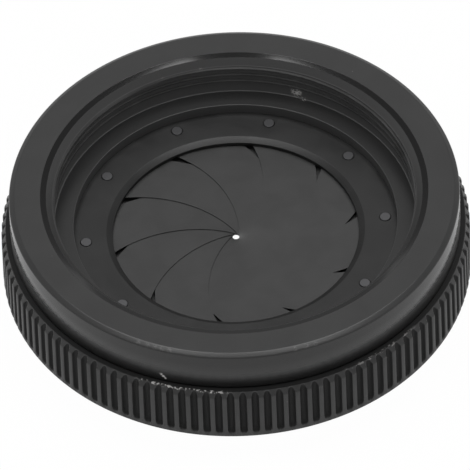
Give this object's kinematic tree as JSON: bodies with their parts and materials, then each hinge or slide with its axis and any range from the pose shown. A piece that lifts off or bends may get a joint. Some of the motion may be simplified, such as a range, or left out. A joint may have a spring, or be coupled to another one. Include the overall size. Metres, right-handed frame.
{
  "type": "iris diaphragm",
  "caption": "Near-zero aperture iris diaphragm: knurled grip ring, cyclically overlapped crescent leaves, threaded front recess and rear spigot.",
  "frame": {"origin": "centre of the rear thread's end face, on the optical axis", "axes": "+Z along the optical axis towards the front thread, +X to the right and +Y away from a viewer in front"},
  "size_m": [0.0542, 0.0542, 0.016],
  "materials": {
    "anodised_housing": "black anodised, satin, finely turned",
    "anodised_plate": "black anodised, matt",
    "anodised_grip": "black anodised, satin, worn bright on a few edges",
    "blackened_ring": "black anodised, matt",
    "blackened_leaf": "blackened spring steel, matt",
    "pin_steel": "turned, lightly darkened",
    "plain_steel": "turned",
    "spring_steel": "rolled",
    "black_screw": "black oxide"
  },
  "bodies": {
    "housing": {"front_housing": "anodised_housing", "pivot_plate": "anodised_plate", "plate_dowels": "plain_steel", "wave_spring": "spring_steel", "rear_cover": "anodised_housing", "cover_screws": "black_screw"},
    "control_ring": {"knurled_ring": "anodised_grip", "drive_ring": "blackened_ring", "drive_pegs": "plain_steel"},
    "leaf_01": {"blade_01": "blackened_leaf", "blade_pins_01": "pin_steel"},
    "leaf_02": {"blade_02": "blackened_leaf", "blade_pins_02": "pin_steel"},
    "leaf_03": {"blade_03": "blackened_leaf", "blade_pins_03": "pin_steel"},
    "leaf_04": {"blade_04": "blackened_leaf", "blade_pins_04": "pin_steel"},
    "leaf_05": {"blade_05": "blackened_leaf", "blade_pins_05": "pin_steel"},
    "leaf_06": {"blade_06": "blackened_leaf", "blade_pins_06": "pin_steel"},
    "leaf_07": {"blade_07": "blackened_leaf", "blade_pins_07": "pin_steel"},
    "leaf_08": {"blade_08": "blackened_leaf", "blade_pins_08": "pin_steel"},
    "leaf_09": {"blade_09": "blackened_leaf", "blade_pins_09": "pin_steel"},
    "leaf_10": {"blade_10": "blackened_leaf", "blade_pins_10": "pin_steel"}
  },
  "joints": [
    {"name": "control_ring_turn", "type": "hinge", "parent": "housing", "child": "control_ring", "pos_m": [0, 0, 0.00708], "axis": [0, 0, 1], "range_deg": [0, 95.54]},
    {"name": "leaf_01_swing", "type": "hinge", "parent": "housing", "child": "leaf_01", "pos_m": [0.01732, 0.00103, 0.00881], "axis": [0, 0, 1], "range_deg": [0, 47.77]},
    {"name": "leaf_02_swing", "type": "hinge", "parent": "housing", "child": "leaf_02", "pos_m": [0.01341, 0.01101, 0.00881], "axis": [0, 0, 1], "range_deg": [0, 47.77]},
    {"name": "leaf_03_swing", "type": "hinge", "parent": "housing", "child": "leaf_03", "pos_m": [0.00437, 0.01679, 0.00881], "axis": [0, 0, 1], "range_deg": [0, 47.77]},
    {"name": "leaf_04_swing", "type": "hinge", "parent": "housing", "child": "leaf_04", "pos_m": [-0.00633, 0.01615, 0.00881], "axis": [0, 0, 1], "range_deg": [0, 47.77]},
    {"name": "leaf_05_swing", "type": "hinge", "parent": "housing", "child": "leaf_05", "pos_m": [-0.01462, 0.00935, 0.00881], "axis": [0, 0, 1], "range_deg": [0, 47.77]},
    {"name": "leaf_06_swing", "type": "hinge", "parent": "housing", "child": "leaf_06", "pos_m": [-0.01732, -0.00103, 0.00881], "axis": [0, 0, 1], "range_deg": [0, 47.77]},
    {"name": "leaf_07_swing", "type": "hinge", "parent": "housing", "child": "leaf_07", "pos_m": [-0.01341, -0.01101, 0.00881], "axis": [0, 0, 1], "range_deg": [0, 47.77]},
    {"name": "leaf_08_swing", "type": "hinge", "parent": "housing", "child": "leaf_08", "pos_m": [-0.00437, -0.01679, 0.00881], "axis": [0, 0, 1], "range_deg": [0, 47.77]},
    {"name": "leaf_09_swing", "type": "hinge", "parent": "housing", "child": "leaf_09", "pos_m": [0.00633, -0.01615, 0.00881], "axis": [0, 0, 1], "range_deg": [0, 47.77]},
    {"name": "leaf_10_swing", "type": "hinge", "parent": "housing", "child": "leaf_10", "pos_m": [0.01462, -0.00935, 0.00881], "axis": [0, 0, 1], "range_deg": [0, 47.77]}
  ],
  "couplings": [
    {"joint": "leaf_01_swing", "follows": "control_ring_turn", "ratio": 0.5},
    {"joint": "leaf_02_swing", "follows": "control_ring_turn", "ratio": 0.5},
    {"joint": "leaf_03_swing", "follows": "control_ring_turn", "ratio": 0.5},
    {"joint": "leaf_04_swing", "follows": "control_ring_turn", "ratio": 0.5},
    {"joint": "leaf_05_swing", "follows": "control_ring_turn", "ratio": 0.5},
    {"joint": "leaf_06_swing", "follows": "control_ring_turn", "ratio": 0.5},
    {"joint": "leaf_07_swing", "follows": "control_ring_turn", "ratio": 0.5},
    {"joint": "leaf_08_swing", "follows": "control_ring_turn", "ratio": 0.5},
    {"joint": "leaf_09_swing", "follows": "control_ring_turn", "ratio": 0.5},
    {"joint": "leaf_10_swing", "follows": "control_ring_turn", "ratio": 0.5}
  ]
}
